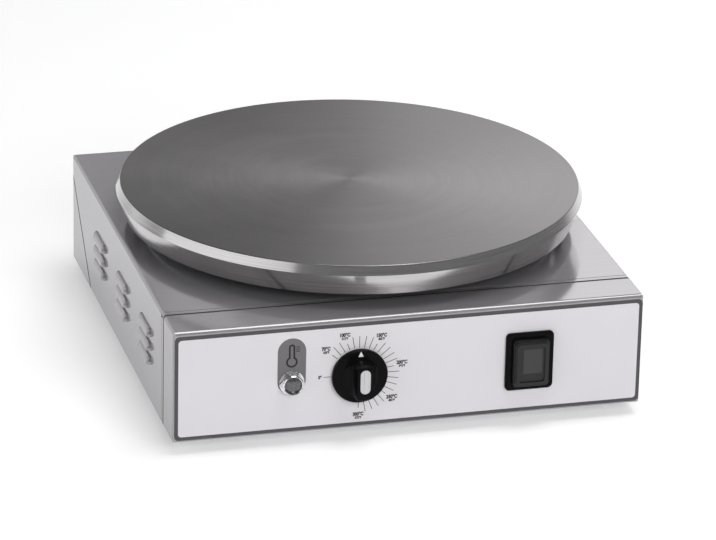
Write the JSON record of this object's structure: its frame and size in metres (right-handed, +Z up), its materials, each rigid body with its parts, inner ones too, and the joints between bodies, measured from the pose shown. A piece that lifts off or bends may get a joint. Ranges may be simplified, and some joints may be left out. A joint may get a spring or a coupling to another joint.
{
  "type": "electric crepe maker",
  "caption": "Countertop electric crepe maker: round ground iron plate over a folded, louvred steel casing, with a turning thermostat knob, a pilot lamp and a covered rocker switch",
  "frame": {"origin": "on the standing plane of the feet, under the centre of the bounding box", "axes": "+X to the right as seen by someone at the controls, +Y towards the rear, +Z up; the controls face -Y"},
  "size_m": [0.407, 0.459, 0.149],
  "materials": {
    "stainless_sheet": "brushed",
    "zinc_sheet": "satin",
    "iron_plate": "turned and seasoned",
    "element_sheath": "annealed dark",
    "ceramic_fibre": "matt",
    "zinc_fastener": "zinc plated",
    "label_film": "satin",
    "bright_chrome": "polished",
    "smoked_lens": "smooth",
    "pale_insulator": "matt",
    "black_plastic": "satin",
    "knob_inlay_metal": "brushed",
    "white_pointer": "satin",
    "brass": "turned",
    "copper": "drawn",
    "brown_ceramic": "matt",
    "clear_boot": "smooth",
    "rocker_plastic": "satin",
    "black_rubber": "moulded"
  },
  "bodies": {
    "casing": {"shell": "stainless_sheet", "front_panel": "stainless_sheet", "rear_panel": "stainless_sheet", "base_plate": "zinc_sheet", "support_rails": "zinc_sheet", "element_clamp": "zinc_sheet", "heat_shield": "zinc_sheet", "cooking_plate": "iron_plate", "heating_element_outer": "element_sheath", "heating_element_inner": "element_sheath", "insulation_pad": "ceramic_fibre", "plate_studs": "zinc_fastener", "clamp_sleeves": "zinc_fastener", "support_sleeves": "zinc_fastener", "stud_nuts": "zinc_fastener", "lamp_nut": "zinc_fastener", "thermostat_screws": "zinc_fastener", "block_screws": "zinc_fastener", "foot_screws": "zinc_fastener", "foot_nuts": "zinc_fastener", "base_screws": "zinc_fastener", "rear_screws": "zinc_fastener", "thermostat_body": "zinc_fastener", "panel_label": "label_film", "lamp_bezel": "bright_chrome", "lamp_lens": "smoked_lens", "lamp_body": "pale_insulator", "terminal_block": "pale_insulator", "switch_frame": "black_plastic", "switch_body": "black_plastic", "cable_gland": "black_plastic", "gland_nut": "black_plastic", "earth_stud": "brass", "thermostat_bulb": "copper", "safety_cutout": "brown_ceramic", "switch_boot": "clear_boot", "feet": "black_rubber"},
    "knob": {"control_knob": "black_plastic", "knob_inlay": "knob_inlay_metal", "knob_pointer": "white_pointer", "thermostat_shaft": "brass"},
    "rocker": {"switch_rocker": "rocker_plastic"}
  },
  "joints": [
    {"name": "knob_turn", "type": "hinge", "parent": "casing", "child": "knob", "pos_m": [-0.044, -0.2075, 0.059], "axis": [0, 1, 0], "range_deg": [-90, 180]},
    {"name": "rocker_tilt", "type": "hinge", "parent": "casing", "child": "rocker", "pos_m": [0.1015, -0.207, 0.059], "axis": [1, 0, 0], "range_deg": [0, 14]}
  ]
}
